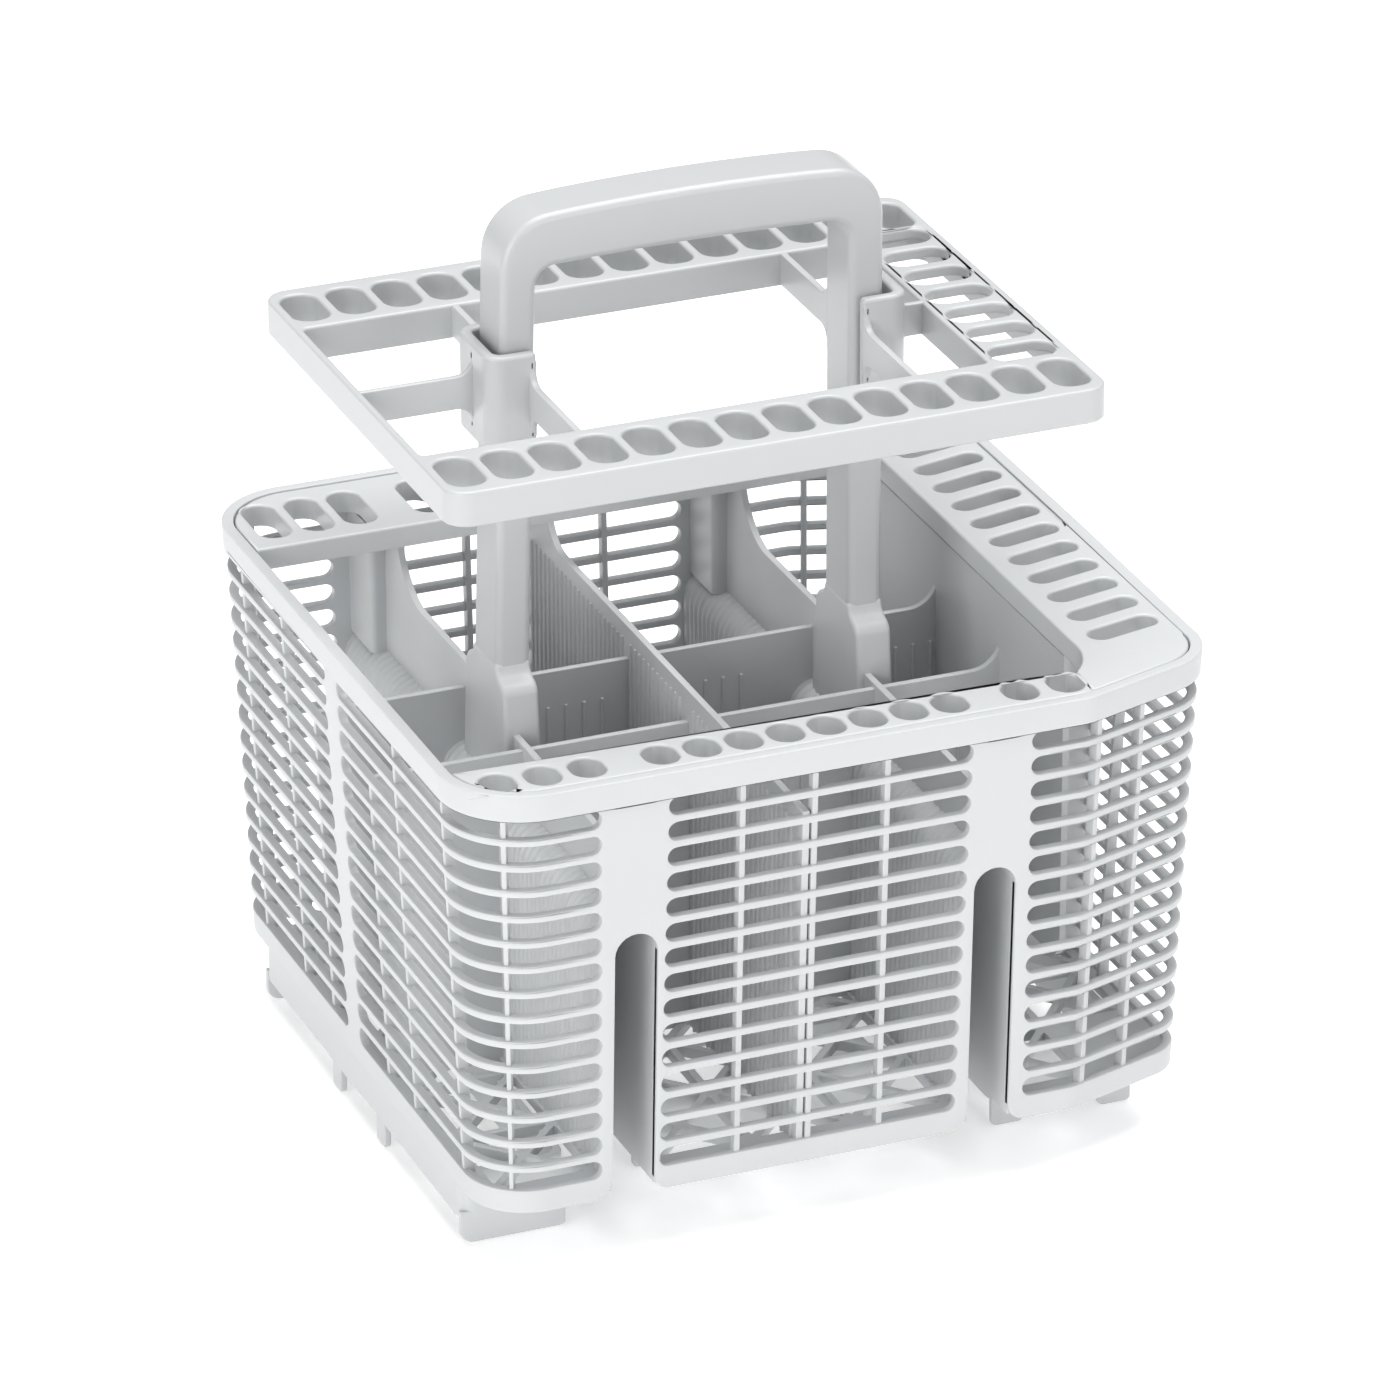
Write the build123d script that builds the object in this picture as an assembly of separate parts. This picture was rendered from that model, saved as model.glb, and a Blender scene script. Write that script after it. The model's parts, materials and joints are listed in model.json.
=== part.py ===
"""Dishwasher cutlery basket: a slotted tub with two rack tunnels under it, three slotted
combs round its rim, a carrying handle and an upper grid that the handle's legs carry.

Millimetres, +Z up. The origin is under the middle of the rim, on the plane of the feet.
The front is at -Y, and the long chamfered corners are on the right, at +X.
"""
import os
from math import cos, radians, sin, sqrt, tan

from build123d import *

# Tub
RIM_LENGTH = 194.6        # outside of the rim, left to right
RIM_WIDTH = 187.6         # outside of the rim, front to back
RIM_TOP = 127.4           # top of the rim above the feet
RIM_BAND = 6.9            # plain band above the first slot
RIM_STEP = 0.6            # the band stands out this far from the slotted wall
SHELL_BOTTOM = 15.8       # lower edge of the walls above the feet
WALL = 2.4
DRAFT = 2.5               # degrees that the walls lean in towards the bottom
LEFT_CORNER = 20.8        # radius of the two left corners, outside of the rim
RIGHT_CORNER = 16.6       # radius after the chamfer, outside of the rim
CORNER_FLAT = 22.5        # degrees from one flat of a round corner to the next
CHAMFER_START = RIM_LENGTH / 2 - 38.0     # where the long chamfer of the right corners begins
CHAMFER_ANGLE = 17.8      # degrees between the chamfer and the front

# Tunnels that straddle the wires of the rack
TUNNELS = (-54.9, 36.1)
TUNNEL_HALF = 5.3
TUNNEL_TOP = 86.0
RIDGE_WALL = 1.6
MOUTH_CHAMFER = 4.5       # the walls are cut back beside the mouths' lower ends
MOUTH_SLOPE = 1.1         # how steeply that cut rises
THROUGH = RIM_WIDTH + 20.0        # length of what passes through both walls, front to back

# Slots of the walls
SLOT_ROWS = 15
SLOT_PITCH = 6.7
SLOT_HEIGHT = 4.8
LEFT_PANEL_END = TUNNELS[0] - 9.1     # where the slots that come round the left corners end
MIDDLE_PANEL = (TUNNELS[0] + 7.3, TUNNELS[1] - 7.5)
RIGHT_PANEL_END = TUNNELS[1] + 8.7    # where the slots that come round the right corners end
SIDE_STRIP = (-2.0, 6.0)  # plain strip in the middle of the left and right walls
RIB_THICKNESS = 1.5
RIB_DEPTH = 1.0           # thin upright ribs stand this far inside the slats
FRONT_RIBS = (-28.5, -10.3, 8.0)

# Floor and what stands under it
FLOOR_TOP = 20.8
FLOOR_THICKNESS = 3.0
FLOOR_RIB = 3.0           # width of the floor's ribs
FLOOR_ROWS = 3            # floor cells from front to back
FLOOR_SIDE = RIM_LENGTH / 2 - 10.0    # half length of the floor's open cells, left to right
FLOOR_REACH = RIM_WIDTH / 2 - 12.0    # half length of the floor's open cells, front to back
SKIRT_THICKNESS = 2.0
SKIRT_BOTTOM = 6.6
FOOT_LENGTH = 9.0         # two feet at each end of a skirt, one wide foot on the left
LEFT_SKIRT = (5.7 - RIM_LENGTH / 2, TUNNELS[0] - 9.6, RIM_WIDTH / 2 - 24.8)   # to half length
MIDDLE_SKIRT = (TUNNELS[0] + 15.2, TUNNELS[1] - 12.1, RIM_WIDTH / 2 - 44.8)
RIGHT_SKIRT = (TUNNELS[1] + 12.5, RIM_LENGTH / 2 - 11.3, RIM_WIDTH / 2 - 31.4)
SIDE_PEGS = (-17.0, 14.0)             # middles of the small pegs under the left skirt
PEG_LENGTH = 6.0

# Inner walls
DIVIDER_LEFT = -13.3      # left face of the middle divider
INNER_WALL = 1.8
DIVIDER_TOP = RIM_TOP - 17.4
DIVIDER_SWEEP = RIM_WIDTH / 2 - 19.3      # where the divider's top edge has swept up to INNER_TOP
PARTITIONS = (-19.4, 19.4)
PARTITION_TOP = RIM_TOP - 25.6
PARTITION_SWEEP = 6.0     # radius in which the partitions' tops rise to the fork wall
RIDGE_WALL_FRONT = RIM_TOP - 24.4     # top of the low walls on the ridges, before the sockets
RIDGE_WALL_BACK = RIM_TOP - 19.1      # top of the walls on the ridges, behind the sockets
RIDGE_WALL_SWEEP = RIM_WIDTH / 2 - 28.8   # where those top edges have swept up to INNER_TOP
COLUMN_FRONT = RIM_WIDTH / 2 - 19.8       # front face of the columns on the back wall
COLUMN_WIDTH = 9.5
INNER_TOP = RIM_TOP - 6.4         # nothing inside stands higher than this, under the combs
FORK_WALL = RIM_LENGTH / 2 - 29.3         # left face of the wall under the fork comb's inner edge
FORK_WALL_BOTTOM = 39.0
FORK_WALL_HALF = 58.0

# Handle
HANDLE_X = -6.2           # the handle stands left of the rim's middle
HANDLE_TOP = 240.0
HANDLE_SPAN = 97.2        # over the outsides of the legs
HANDLE_DEPTH = 15.4
HANDLE_CROWN = 2.2        # rise of the top from the corners to the middle
LEG_WIDTH = 8.8
GRIP_HEIGHT = 20.2
HANDLE_CORNER = 13.0
GRIP_CORNER = 5.0
HANDLE_EDGE = 1.2

# Sockets on the ridges that hold the handle's legs
SOCKET_TOP = RIM_TOP - 13.7
SOCKET_HALF = 12.9
SOCKET_SHOULDER = 4.0
TONGUE_DEPTH = 12.0
TONGUE_WIDTH = 5.2
TONGUE_LENGTH = 11.0
FIT = 0.3                 # clearance of the tongues in their sockets

# Combs round the rim
COMB_DEPTH = 5.6
COMB_GAP = 0.2            # clearance between the combs, and to the tub
FRONT_COMB_EDGE = 15.1 - RIM_WIDTH / 2
FRONT_COMB_EDGE_LEFT = 19.6 - RIM_WIDTH / 2
BACK_COMB_EDGE = RIM_WIDTH / 2 - 33.9
FORK_COMB_EDGE = RIM_LENGTH / 2 - 29.4
FORK_COMB_CORNER = 22.8 - RIM_WIDTH / 2   # front end of the fork comb's straight inner edge
COMB_SEAM = CHAMFER_START + 2.5   # seam between the fork comb and its neighbours
COMB_SLOT_WIDTH = 8.4
COMB_GROUPS = ((-86.0, 11.05, 3), (-45.7, 10.44, 8), (45.3, 11.6, 2))
FRONT_SLOT = (5.4 - RIM_WIDTH / 2, 15.8 - RIM_WIDTH / 2)
BACK_SLOT = (RIM_WIDTH / 2 - 28.6, RIM_WIDTH / 2 - 8.5)
FORK_SLOTS = 12
FORK_SLOT_PITCH = 11.55
FORK_SLOT_FIRST = -60.2
FORK_SLOT_LENGTH = 19.4
FORK_SLOT_WIDTH = 6.4
FORK_SLOT_X = RIM_LENGTH / 2 - 15.1
FORK_SLOT_SLANT = 13.0
LUG = 2.0                 # the combs rest on lugs of this size on the wall
LUG_HALF = 3.0            # half length of a lug along its wall
LUGS_FRONT = (-70.0, -6.0, 50.0)      # middles of the lugs on the front and back walls
LUGS_RIGHT = (-40.0, 0.0, 40.0)       # middles of the lugs on the right wall

# Upper grid
GRID_LEFT, GRID_RIGHT = -89.7, 76.5
GRID_HALF = 64.7
GRID_TOP = HANDLE_TOP - 47.6
GRID_DEPTH = 8.7
GRID_CORNER = 6.0
GRID_WALL = 1.9
GRID_ROW_EDGE = 40.4      # inner edges of the front and back rows
GRID_COLUMN_EDGE = 55.2   # inner edge of the right column
GRID_SLOTS = 14
GRID_SLOT_PITCH = 11.85
GRID_SLOT_FIRST = -82.8
GRID_SLOT_WIDTH = 9.1
GRID_SLOT = (44.4, 58.0)  # from and to, measured from the middle
COLUMN_SLOTS = 7
COLUMN_SLOT_PITCH = 12.5
COLUMN_SLOT_MIDDLE = 1.0
COLUMN_SLOT = (57.0, 74.6)
COLUMN_SLOT_WIDTH = 8.6
RAIL_OFFSET = 42.6        # middles of the inner rails, from the handle's middle
COLLAR_TOP = GRID_TOP + 7.6
COLLAR_CLEARANCE = 2.3    # outside the leg
COLLAR_SIDE_GAP = 0.8     # in front of the leg and behind it
COLLAR_WALL = 2.9
COLLAR_RADIUS = 4.5
ARM_HEIGHT = 10.4
OVERLAP = 1.0             # how far rails and arms run into what they join


def box(x, y, z):
    """Box between two ends on each axis, each given as a pair."""
    size = [high - low for low, high in (x, y, z)]
    middle = [(high + low) / 2 for low, high in (x, y, z)]
    return Pos(*middle) * Box(*size)


def octagon(x, y):
    """Slot shape in a plane: a rectangle with its corners clipped like an octagon's."""
    (x0, x1), (y0, y1) = x, y
    clip = min(x1 - x0, y1 - y0) * (1 - 1 / sqrt(2))
    return make_face(Polyline(
        (x0 + clip, y0), (x1 - clip, y0), (x1, y0 + clip), (x1, y1 - clip),
        (x1 - clip, y1), (x0 + clip, y1), (x0, y1 - clip), (x0, y0 + clip), close=True))


def polygon(*points):
    return make_face(Polyline(*points, close=True))


def arc_points(centre, radius, start, end):
    """Corners of the flats that a round corner is moulded with, between two angles."""
    flats = round(abs(end - start) / CORNER_FLAT)
    angles = [radians(start + (end - start) * i / flats) for i in range(flats + 1)]
    return [(centre[0] + radius * cos(a), centre[1] + radius * sin(a)) for a in angles]


def rim_outline(inset):
    """Plan of the rim, moved in by inset: round left corners, chamfered right ones."""
    half_x, half_y = RIM_LENGTH / 2, RIM_WIDTH / 2
    turn = 90 - CHAMFER_ANGLE
    corner_y = (half_x - CHAMFER_START) * tan(radians(CHAMFER_ANGLE)) - half_y
    tangent = RIGHT_CORNER * tan(radians(turn / 2))
    left = (LEFT_CORNER - half_x, LEFT_CORNER - half_y)
    right = (half_x - RIGHT_CORNER, corner_y + tangent)
    front = arc_points(left, LEFT_CORNER, 180, 270) + [(CHAMFER_START, -half_y)]
    front += arc_points(right, RIGHT_CORNER, -turn, 0)
    back = [(x, -y) for x, y in reversed(front)]
    outline = polygon(*front, *back)
    return offset(outline, -inset, kind=Kind.INTERSECTION) if inset else outline


def drafted(inset, top, bottom):
    """Solid inside the leaning wall line, inset from it, between two heights."""
    start = inset + (RIM_TOP - top) * tan(radians(DRAFT))
    return extrude(Pos(0, 0, top) * rim_outline(start), amount=bottom - top, taper=DRAFT)


def slot_cutters():
    """Every slot of the walls. Corner slots are an arm on each of two walls."""
    far = RIM_LENGTH
    reach = 22.0
    inner_x = RIM_LENGTH / 2 - reach
    inner_y = RIM_WIDTH / 2 - reach
    cutters = []
    for row in range(SLOT_ROWS):
        top = RIM_TOP - RIM_BAND - row * SLOT_PITCH
        height = (top - SLOT_HEIGHT, top)
        across = [(-far, LEFT_PANEL_END), MIDDLE_PANEL, (RIGHT_PANEL_END, far)]
        along = [(-far, SIDE_STRIP[0]), (SIDE_STRIP[1], far)]
        for span in across:
            profile = octagon(span, height)
            cutters.append(extrude(Plane.XZ.offset(inner_y) * profile, 2 * reach))
            cutters.append(extrude(Plane.XZ.offset(-inner_y) * profile, -2 * reach))
        for span in along:
            profile = octagon(span, height)
            cutters.append(extrude(Plane.YZ.offset(inner_x) * profile, 2 * reach))
            cutters.append(extrude(Plane.YZ.offset(-inner_x) * profile, -2 * reach))
    return cutters


def rib_slabs():
    """Thin upright slabs, square to the front wall, where the ribs are."""
    half = RIB_THICKNESS / 2
    return [box((x - half, x + half), (-RIM_WIDTH, 0), (SHELL_BOTTOM, INNER_TOP))
            for x in FRONT_RIBS]


def shell():
    """Walls and rim band, with the slots and the thin ribs inside the slats."""
    step = RIM_STEP
    body = drafted(0, RIM_TOP, RIM_TOP - RIM_BAND)
    body += drafted(step, RIM_TOP - RIM_BAND, SHELL_BOTTOM)
    body -= drafted(step + WALL, RIM_TOP, SHELL_BOTTOM)
    body -= slot_cutters()
    ring = drafted(step + WALL, INNER_TOP, SHELL_BOTTOM)
    ring -= drafted(step + WALL + RIB_DEPTH, INNER_TOP, SHELL_BOTTOM)
    ribs = [ring & slab for slab in rib_slabs()]
    return body + ribs


def floor_bays():
    """Stretches of floor between the walls and the tunnels, as pairs of X."""
    ridge = TUNNEL_HALF + RIDGE_WALL
    left, right = TUNNELS
    return ((-FLOOR_SIDE, left - ridge), (left + ridge, right - ridge),
            (right + ridge, FLOOR_SIDE))


def floor():
    """Open floor: square cells with diagonal ribs, so that water drains."""
    plate = drafted(RIM_STEP + WALL / 2, FLOOR_TOP, FLOOR_TOP - FLOOR_THICKNESS)
    half = FLOOR_RIB / 2
    cell_y = 2 * FLOOR_REACH / FLOOR_ROWS
    holes = []
    for low, high in floor_bays():
        columns = max(1, round((high - low) / cell_y))
        cell_x = (high - low) / columns
        slope = sqrt(cell_x ** 2 + cell_y ** 2)
        lift = half * slope / cell_x
        push = half * slope / cell_y
        for i in range(columns):
            for j in range(FLOOR_ROWS):
                x0, y0 = low + i * cell_x, j * cell_y - FLOOR_REACH
                x1, y1 = x0 + cell_x, y0 + cell_y
                xm, ym = (x0 + x1) / 2, (y0 + y1) / 2
                rise = (cell_x / 2 - push - half) * cell_y / cell_x
                run = (cell_y / 2 - lift - half) * cell_x / cell_y
                holes += [
                    polygon((x0 + half, ym - rise), (x0 + half, ym + rise), (xm - push, ym)),
                    polygon((x1 - half, ym - rise), (x1 - half, ym + rise), (xm + push, ym)),
                    polygon((xm - run, y0 + half), (xm + run, y0 + half), (xm, ym - lift)),
                    polygon((xm - run, y1 - half), (xm + run, y1 - half), (xm, ym + lift))]
    bottom = Pos(0, 0, FLOOR_TOP - FLOOR_THICKNESS)
    return plate - [extrude(bottom * hole, FLOOR_THICKNESS) for hole in holes]


def skirt(left, right, half_length, wide_foot=False):
    """Frame under one stretch of floor, with two feet or one wide foot across each end."""
    t = SKIRT_THICKNESS
    top = FLOOR_TOP - FLOOR_THICKNESS / 2
    frame = box((left, right), (-half_length, half_length), (SKIRT_BOTTOM, top))
    frame -= box((left + t, right - t), (t - half_length, half_length - t), (SKIRT_BOTTOM, top))
    feet = [(left, left + FOOT_LENGTH), (right - FOOT_LENGTH, right)]
    if wide_foot:
        feet = [(left, right)]
    for side in (-1, 1):
        y = sorted((side * (half_length - t), side * half_length))
        frame += [box(x, y, (0, SKIRT_BOTTOM)) for x in feet]
    return frame


def ridge(x, grow, bottom):
    """Round-topped prism over a tunnel, grown outwards by grow."""
    half = TUNNEL_HALF + grow
    springing = TUNNEL_TOP - TUNNEL_HALF
    prism = box((x - half, x + half), (-THROUGH / 2, THROUGH / 2), (bottom, springing))
    arch = Pos(x, 0, springing) * Rot(90, 0, 0) * Cylinder(half, THROUGH)
    return prism + arch


def mouth_chamfers():
    """Wedges that cut the walls back beside the lower ends of the tunnels' mouths."""
    wedges = []
    half = TUNNEL_HALF + MOUTH_CHAMFER
    for x in TUNNELS:
        wedge = polygon(
            (x - half, SHELL_BOTTOM), (x + half, SHELL_BOTTOM),
            (x, SHELL_BOTTOM + half * MOUTH_SLOPE))
        wedges.append(extrude(Plane.XZ.offset(-THROUGH / 2) * wedge, THROUGH))
    return wedges


def swept_wall(left, top, front, sweep_end):
    """Upright wall to the back whose top edge sweeps up in a quarter circle before it."""
    back = RIM_WIDTH / 2
    radius = INNER_TOP - top
    start = sweep_end - radius
    outline = [
        Line((front, FLOOR_TOP), (front, top)),
        Line((front, top), (start, top)),
        CenterArc((start, INNER_TOP), radius, -90, 90),
        Line((sweep_end, INNER_TOP), (back, INNER_TOP)),
        Line((back, INNER_TOP), (back, FLOOR_TOP)),
        Line((back, FLOOR_TOP), (front, FLOOR_TOP))]
    return extrude(Plane.YZ.offset(left) * make_face(outline), INNER_WALL)


def partition(y):
    """Cross wall; its top edge rises in a quarter circle where it meets the fork wall."""
    reach = RIM_LENGTH / 2
    half = INNER_WALL / 2
    middle = FORK_WALL + half
    rise = PARTITION_TOP + PARTITION_SWEEP
    sweep = arc_points((FORK_WALL - PARTITION_SWEEP, rise), PARTITION_SWEEP, -90, 0)
    outline = polygon(
        (-reach, FLOOR_TOP), (-reach, PARTITION_TOP), *sweep, (middle, rise),
        (middle, PARTITION_TOP), (reach, PARTITION_TOP), (reach, FLOOR_TOP))
    return extrude(Plane.XZ.offset(-y - half) * outline, INNER_WALL)


def handle_x(side):
    """Outer and inner face of a leg, in that order, for side -1 or 1."""
    outer = HANDLE_X + side * HANDLE_SPAN / 2
    return outer, outer - side * LEG_WIDTH


def sockets():
    """Blocks on the ridges that take the tongues of the handle's legs."""
    blocks = []
    for side in (-1, 1):
        low, high = sorted(handle_x(side))
        s, half = SOCKET_SHOULDER, SOCKET_HALF
        profile = polygon(
            (-half, FLOOR_TOP), (-half, SOCKET_TOP - s), (s - half, SOCKET_TOP),
            (half - s, SOCKET_TOP), (half, SOCKET_TOP - s), (half, FLOOR_TOP))
        blocks.append(extrude(Plane.YZ.offset(low) * profile, high - low))
    return blocks


def socket_pockets():
    pockets = []
    for side in (-1, 1):
        middle = sum(handle_x(side)) / 2
        half_x, half_y = TONGUE_WIDTH / 2 + FIT, TONGUE_LENGTH / 2 + FIT
        pockets.append(box(
            (middle - half_x, middle + half_x), (-half_y, half_y),
            (SOCKET_TOP - TONGUE_DEPTH - FIT, SOCKET_TOP)))
    return pockets


def inner_walls():
    """Ridges over the tunnels, dividers, partitions, sockets and columns."""
    back = RIM_WIDTH / 2
    walls = [swept_wall(DIVIDER_LEFT, DIVIDER_TOP, -back, DIVIDER_SWEEP)]
    walls += [partition(y) for y in PARTITIONS]
    for x in TUNNELS:
        left = x - INNER_WALL / 2
        walls.append(ridge(x, RIDGE_WALL, FLOOR_TOP - FLOOR_THICKNESS))
        walls.append(swept_wall(left, RIDGE_WALL_BACK, 0, RIDGE_WALL_SWEEP))
        walls.append(box((left, left + INNER_WALL), (-back, 0), (TUNNEL_TOP, RIDGE_WALL_FRONT)))
        half = COLUMN_WIDTH / 2
        walls.append(box((x - half, x + half), (COLUMN_FRONT, back), (TUNNEL_TOP, INNER_TOP)))
    fork_wall = box((FORK_WALL, FORK_WALL + INNER_WALL), (-FORK_WALL_HALF, FORK_WALL_HALF),
                    (FORK_WALL_BOTTOM, INNER_TOP))
    walls.append(fork_wall)
    return walls + sockets()


def comb_lugs():
    """Small lugs on the walls that the combs rest on."""
    top = RIM_TOP - COMB_DEPTH
    x_line = RIM_LENGTH / 2 - RIM_STEP - WALL
    y_line = RIM_WIDTH / 2 - RIM_STEP - WALL
    lugs = []
    for x in LUGS_FRONT:
        for side in (-1, 1):
            y = sorted((side * (y_line - LUG), side * (y_line + WALL / 2)))
            lugs.append(box((x - LUG_HALF, x + LUG_HALF), y, (top - LUG, top)))
    for y in LUGS_RIGHT:
        x = (x_line - LUG, x_line + WALL / 2)
        lugs.append(box(x, (y - LUG_HALF, y + LUG_HALF), (top - LUG, top)))
    return lugs


def basket_body():
    outside = drafted(RIM_STEP, RIM_TOP, SHELL_BOTTOM)
    outside += box((-RIM_LENGTH, RIM_LENGTH), (-RIM_WIDTH, RIM_WIDTH), (0, SHELL_BOTTOM))
    inside = drafted(RIM_STEP + WALL / 2, INNER_TOP, SHELL_BOTTOM)
    first, *others = inner_walls()
    walls = (first + others) & inside
    body = shell() + floor() + walls + comb_lugs()
    body += [skirt(*LEFT_SKIRT, wide_foot=True), skirt(*MIDDLE_SKIRT), skirt(*RIGHT_SKIRT)]
    left = LEFT_SKIRT[0]
    for y in SIDE_PEGS:
        body += box((left, left + SKIRT_THICKNESS), (y - PEG_LENGTH / 2, y + PEG_LENGTH / 2),
                    (0, SKIRT_BOTTOM))
    body -= [ridge(x, 0, 0) for x in TUNNELS]
    body -= mouth_chamfers()
    return body - socket_pockets()


def handle():
    """Arch of one bar, with round corners and a tongue on each leg."""
    low, high = HANDLE_X - HANDLE_SPAN / 2, HANDLE_X + HANDLE_SPAN / 2
    shoulder = HANDLE_TOP - HANDLE_CROWN
    top = ThreePointArc((low, shoulder), (HANDLE_X, HANDLE_TOP), (high, shoulder))
    outer = make_face([
        top, Line((high, shoulder), (high, SOCKET_TOP)),
        Line((high, SOCKET_TOP), (low, SOCKET_TOP)), Line((low, SOCKET_TOP), (low, shoulder))])
    outer = fillet(outer.vertices().group_by(Axis.Y)[-1], HANDLE_CORNER)
    ends = (low + LEG_WIDTH, high - LEG_WIDTH)
    under = HANDLE_TOP - GRIP_HEIGHT
    gap = polygon((ends[0], SOCKET_TOP), (ends[1], SOCKET_TOP), (ends[1], under), (ends[0], under))
    gap = fillet(gap.vertices().group_by(Axis.Y)[-1], GRIP_CORNER)
    bar = extrude(Plane.XZ.offset(-HANDLE_DEPTH / 2) * (outer - gap), HANDLE_DEPTH)
    rims = bar.edges().filter_by_position(Axis.Y, HANDLE_DEPTH / 2, HANDLE_DEPTH / 2)
    rims += bar.edges().filter_by_position(Axis.Y, -HANDLE_DEPTH / 2, -HANDLE_DEPTH / 2)
    rims = [edge for edge in rims if edge.center().Z > SOCKET_TOP + HANDLE_EDGE]
    bar = chamfer(rims, HANDLE_EDGE)
    for side in (-1, 1):
        middle = sum(handle_x(side)) / 2
        half_x, half_y = TONGUE_WIDTH / 2, TONGUE_LENGTH / 2
        bar += box((middle - half_x, middle + half_x), (-half_y, half_y),
                   (SOCKET_TOP - TONGUE_DEPTH, SOCKET_TOP))
    return bar


def comb(region, slots):
    """Comb: a thick plate that fits inside the rim, with slots through it."""
    plate = drafted(RIM_STEP + WALL + COMB_GAP, RIM_TOP, RIM_TOP - COMB_DEPTH)
    plate &= extrude(Pos(0, 0, RIM_TOP) * region, -COMB_DEPTH)
    return plate - [extrude(Pos(0, 0, RIM_TOP) * slot, -COMB_DEPTH) for slot in slots]


def row_slots(span):
    half = COMB_SLOT_WIDTH / 2
    places = [start + i * pitch for start, pitch, count in COMB_GROUPS for i in range(count)]
    return [octagon((x - half, x + half), span) for x in places]


def front_comb():
    far = RIM_WIDTH
    edge = polygon(
        (-far, -far), (COMB_SEAM - COMB_GAP, -far), (COMB_SEAM - COMB_GAP, FRONT_COMB_EDGE),
        (-RIM_LENGTH / 2, FRONT_COMB_EDGE_LEFT))
    return comb(edge, row_slots(FRONT_SLOT))


def back_comb():
    far = RIM_WIDTH
    edge = polygon(
        (-far, far), (-far, BACK_COMB_EDGE), (FORK_COMB_EDGE - COMB_GAP, BACK_COMB_EDGE),
        (COMB_SEAM - COMB_GAP, far))
    return comb(edge, row_slots(BACK_SLOT))


def fork_comb():
    far = RIM_WIDTH
    edge = polygon(
        (COMB_SEAM, -far), (far, -far), (far, far), (COMB_SEAM, far),
        (FORK_COMB_EDGE, BACK_COMB_EDGE), (FORK_COMB_EDGE, FORK_COMB_CORNER),
        (COMB_SEAM, FRONT_COMB_EDGE))
    length, width = FORK_SLOT_LENGTH / 2, FORK_SLOT_WIDTH / 2
    slots = []
    for i in range(FORK_SLOTS):
        place = Pos(FORK_SLOT_X, FORK_SLOT_FIRST + i * FORK_SLOT_PITCH, 0)
        slot = octagon((-length, length), (-width, width))
        slots.append(place * Rot(0, 0, FORK_SLOT_SLANT) * slot)
    return comb(edge, slots)


def upper_grid():
    """Grid on the handle's legs: slotted rows and column, rails, arms and two collars."""
    bottom = GRID_TOP - GRID_DEPTH
    height = (bottom, GRID_TOP)
    plan = polygon((GRID_LEFT, -GRID_HALF), (GRID_RIGHT, -GRID_HALF),
                   (GRID_RIGHT, GRID_HALF), (GRID_LEFT, GRID_HALF))
    plan = fillet(plan.vertices(), GRID_CORNER)
    grid = extrude(Pos(0, 0, bottom) * plan, GRID_DEPTH)
    grid -= box((GRID_LEFT + GRID_WALL, GRID_COLUMN_EDGE), (-GRID_ROW_EDGE, GRID_ROW_EDGE), height)
    for side in (-1, 1):
        rail = HANDLE_X + side * RAIL_OFFSET
        half = GRID_WALL / 2
        reach = GRID_ROW_EDGE + OVERLAP
        grid += box((rail - half, rail + half), (-reach, reach), height)
        outer, inner = handle_x(side)
        wall_x = outer + side * (COLLAR_CLEARANCE + COLLAR_WALL)
        half_y = HANDLE_DEPTH / 2 + COLLAR_SIDE_GAP + COLLAR_WALL
        x_span = sorted((rail - side * half, wall_x))
        collar = box(x_span, (-half_y, half_y), (bottom, COLLAR_TOP))
        collar = fillet(
            collar.edges().filter_by(Axis.Z).group_by(Axis.X)[-1 if side > 0 else 0],
            COLLAR_RADIUS)
        end = GRID_COLUMN_EDGE + OVERLAP if side > 0 else GRID_LEFT + OVERLAP
        grid += box(sorted((wall_x - side, end)), (-half, half), (GRID_TOP - ARM_HEIGHT, GRID_TOP))
        grid += collar
        grid -= box(sorted((inner - side * COLLAR_WALL, outer + side * COLLAR_CLEARANCE)),
                    (COLLAR_WALL - half_y, half_y - COLLAR_WALL), (bottom, COLLAR_TOP))
    half = GRID_SLOT_WIDTH / 2
    slots = []
    for i in range(GRID_SLOTS):
        x = GRID_SLOT_FIRST + i * GRID_SLOT_PITCH
        slots.append(octagon((x - half, x + half), GRID_SLOT))
        slots.append(octagon((x - half, x + half), (-GRID_SLOT[1], -GRID_SLOT[0])))
    half = COLUMN_SLOT_WIDTH / 2
    for i in range(COLUMN_SLOTS):
        y = COLUMN_SLOT_MIDDLE + (i - (COLUMN_SLOTS - 1) / 2) * COLUMN_SLOT_PITCH
        slots.append(octagon(COLUMN_SLOT, (y - half, y + half)))
    return grid - [extrude(Pos(0, 0, bottom) * slot, GRID_DEPTH) for slot in slots]


PIECES = {
    "basket_body": basket_body,
    "handle": handle,
    "upper_grid": upper_grid,
    "front_comb": front_comb,
    "back_comb": back_comb,
    "fork_comb": fork_comb,
}

os.makedirs("parts", exist_ok=True)
for name, make in PIECES.items():
    export_step(make(), f"parts/{name}.step")
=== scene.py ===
"""Dishwasher cutlery basket in Blender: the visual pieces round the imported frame.

Shapes are worked in millimetres, in the frame's own axes: +Z up, the front at -Y and the
chamfered corners at +X. Each finished mesh is put into metres.
"""
import json
import math

import bmesh
import bpy
from mathutils import Matrix, Vector

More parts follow.
